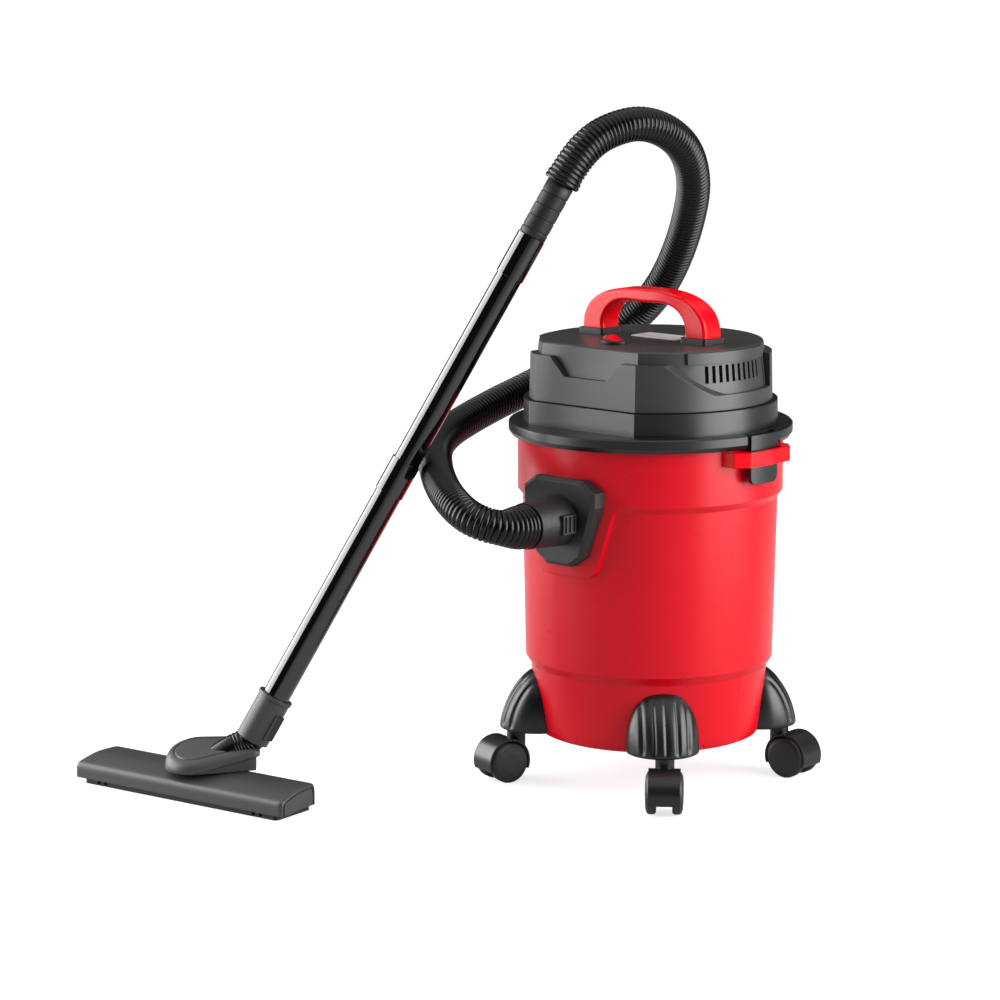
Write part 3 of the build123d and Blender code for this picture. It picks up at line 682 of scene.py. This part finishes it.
def shell_ring(x, inset, outline, hollow):
    """Section of the nozzle's shell: over the outside, then back along the inside."""
    outside = [shell_point(x, point, inset, 1.0) for point in outline]
    inside = [shell_point(x, point, inset + SHELL_WALL, hollow) for point in reversed(outline)]
    return outside + inside


def make_nozzle():
    """Shell of the nozzle, open below, with a solid stepped cap at each end."""
    control = [Vector((y, z, 0.0)) for y, z in SHELL_SECTION]
    section = spline_points(control, SECTION_RESOLUTION)
    outline = [(p.x, p.y) for p, _ in evenly(section, SECTION_STEP)]
    left = [(step - NOZZLE_HALF, inset, 0.0) for step, inset in END_STEPS]
    left.append((END_WALL - NOZZLE_HALF, 0.0, 0.0))
    left.append((CAVITY_START - NOZZLE_HALF, 0.0, 1.0))
    middle = [(x, 0.0, 1.0) for x in MIDDLE_STATIONS]
    right = [(-x, inset, hollow) for x, inset, hollow in reversed(left)]
    bm = bmesh.new()
    capped(bm, [shell_ring(x, inset, outline, hollow) for x, inset, hollow in left + middle + right])
    add_piece("nozzle_shell", bm, "nozzle_grey", "nozzle", ["nozzle_body"], sharp=40.0)


def tuft_ring(x, row, height, reach):
    """Oval section of one tuft."""
    ring = []
    for step in range(TUFT_SIDES):
        turn = 2 * math.pi * step / TUFT_SIDES
        across = row + TUFT_DEPTH * reach * math.sin(turn)
        ring.append(nozzle_point(x + reach * math.cos(turn), across, height))
    return ring


def make_brushes():
    """Two strips of bristle tufts beside the suction mouth, each tuft leaning its own way."""
    bm = bmesh.new()
    for row in BRUSH_ROWS:
        for i in range(TUFTS):
            x = -BRUSH_HALF + 2 * BRUSH_HALF * (i + 0.5) / TUFTS
            lean = 0.5 * math.sin(2.4 * i)
            rings = [tuft_ring(x + share * lean, row, height, reach) for height, reach, share in TUFT_LEVELS]
            capped(bm, rings)
    add_piece("bristle_tufts", bm, "brush", "nozzle", ["brush_strips"], sharp=50.0)


# ---------------------------------------------------------------- stage
FLOOR_REACH = 60.0
FLOOR_TONES = [(0.3, (0.40, 0.40, 0.40, 1.0)), (0.7, (0.42, 0.42, 0.42, 1.0))]
FLOOR_GLOW = 0.12
FLOOR_GLOW_SEEN = 0.74
DOME_DARK = (0.03, 0.03, 0.03, 1.0)
DOME_BRIGHT = (1.0, 1.0, 1.0, 1.0)
DOME_STRENGTH = 1.3
LIGHT_CENTRE = Vector((0.0, 0.0, 0.28))
CAMERA_AZIMUTH = -50.8


def make_stage():
    """Wide pale floor. It glows more for the camera than for the object, so it looks white."""
    bm = bmesh.new()
    reach = FLOOR_REACH
    corners = [(-reach, -reach), (reach, -reach), (reach, reach), (-reach, reach)]
    bm.faces.new([bm.verts.new((x, y, 0.0)) for x, y in corners])
    mesh = bpy.data.meshes.new("floor")
    bm.to_mesh(mesh)
    bm.free()
    floor = bpy.data.objects.new("floor", mesh)
    bpy.context.scene.collection.objects.link(floor)
    finish = Finish("floor_paint")
    finish.to("Base Color", finish.ramp(finish.noise(scale=0.6), FLOOR_TONES))
    finish.shader.inputs["Roughness"].default_value = 0.9
    finish.shader.inputs["Specular IOR Level"].default_value = 0.1
    finish.shader.inputs["Emission Color"].default_value = (1.0, 1.0, 1.0, 1.0)
    path = finish.nodes.new("ShaderNodeLightPath")
    glow = finish.spread(path.outputs["Is Camera Ray"], FLOOR_GLOW, FLOOR_GLOW_SEEN)
    finish.to("Emission Strength", glow)
    mesh.materials.append(finish.material)


def add_light(name, azimuth, elevation, distance, width, height, power):
    """Soft box aimed at the object, at an azimuth where 0 is near the camera's own side."""
    turn = math.radians(CAMERA_AZIMUTH + azimuth)
    rise = math.radians(elevation)
    away = Vector((math.cos(turn) * math.cos(rise), math.sin(turn) * math.cos(rise), math.sin(rise)))
    data = bpy.data.lights.new(name, "AREA")
    data.shape = "RECTANGLE"
    data.size = width
    data.size_y = height
    data.energy = power
    light = bpy.data.objects.new(name, data)
    light.location = LIGHT_CENTRE + away * distance
    light.rotation_euler = away.to_track_quat("Z", "Y").to_euler()
    bpy.context.scene.collection.objects.link(light)


def make_world():
    """Bright dome overhead that falls to near black towards the horizon."""
    world = bpy.data.worlds.new("studio")
    world.use_nodes = True
    nodes = world.node_tree.nodes
    links = world.node_tree.links
    coords = nodes.new("ShaderNodeTexCoord")
    parts = nodes.new("ShaderNodeSeparateXYZ")
    ramp = nodes.new("ShaderNodeValToRGB")
    low, high = ramp.color_ramp.elements
    low.position = 0.55
    low.color = DOME_DARK
    high.position = 0.80
    high.color = DOME_BRIGHT
    links.new(coords.outputs["Generated"], parts.inputs["Vector"])
    links.new(parts.outputs["Z"], ramp.inputs["Fac"])
    links.new(ramp.outputs["Color"], nodes["Background"].inputs["Color"])
    nodes["Background"].inputs["Strength"].default_value = DOME_STRENGTH
    bpy.context.scene.world = world


def make_lights():
    """One soft box on each side, shown in plain display colours."""
    add_light("box_left", azimuth=-98.0, elevation=12.0, distance=1.9, width=2.3, height=1.7, power=98.0)
    add_light("box_right", azimuth=70.0, elevation=12.0, distance=1.9, width=1.5, height=1.7, power=76.0)
    bpy.context.scene.view_settings.view_transform = "Standard"


def paint_nodes():
    """Gives every CAD node the finish of its slot in the record."""
    slots = record_slots()
    for name, obj in NODES.items():
        finish = FINISHES[slots[name]]
        if not obj.data.materials:
            obj.data.materials.append(finish)
        for slot in obj.material_slots:
            slot.material = finish


make_camera()
make_hose()
for name in ("front_right", "front_left", "rear_right", "rear_left"):
    make_castor_foot(name)
make_grip()
make_bellows()
make_neck()
make_nozzle()
make_brushes()
make_stage()
make_world()
make_lights()
paint_nodes()
